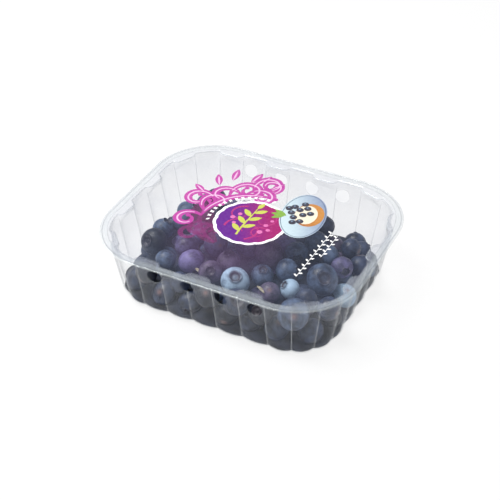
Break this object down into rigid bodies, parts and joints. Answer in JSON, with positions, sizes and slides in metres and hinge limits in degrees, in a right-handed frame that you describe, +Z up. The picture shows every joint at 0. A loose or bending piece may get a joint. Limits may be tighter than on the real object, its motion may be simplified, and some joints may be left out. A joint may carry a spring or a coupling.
{
  "type": "sealed punnet of blueberries",
  "caption": "Clear fluted plastic punnet with vents under its flange, sealed with a flat printed film and filled with loose round blueberries.",
  "frame": {"origin": "on the resting plane, under the middle of the base", "axes": "+X along the long side, -Y towards the long side that faced the viewer, +Z up"},
  "size_m": [0.1598, 0.1338, 0.0416],
  "materials": {
    "clear_tray": "clear thermoformed sheet, glossy, slightly milky where it is stretched",
    "clear_film": "clear taut film with fields of opaque print on it",
    "berry_skin": "dark blue skin under a pale waxy bloom"
  },
  "bodies": {
    "root": {"tray": "clear_tray", "film": "clear_film", "berries": "berry_skin"}
  },
  "joints": []
}
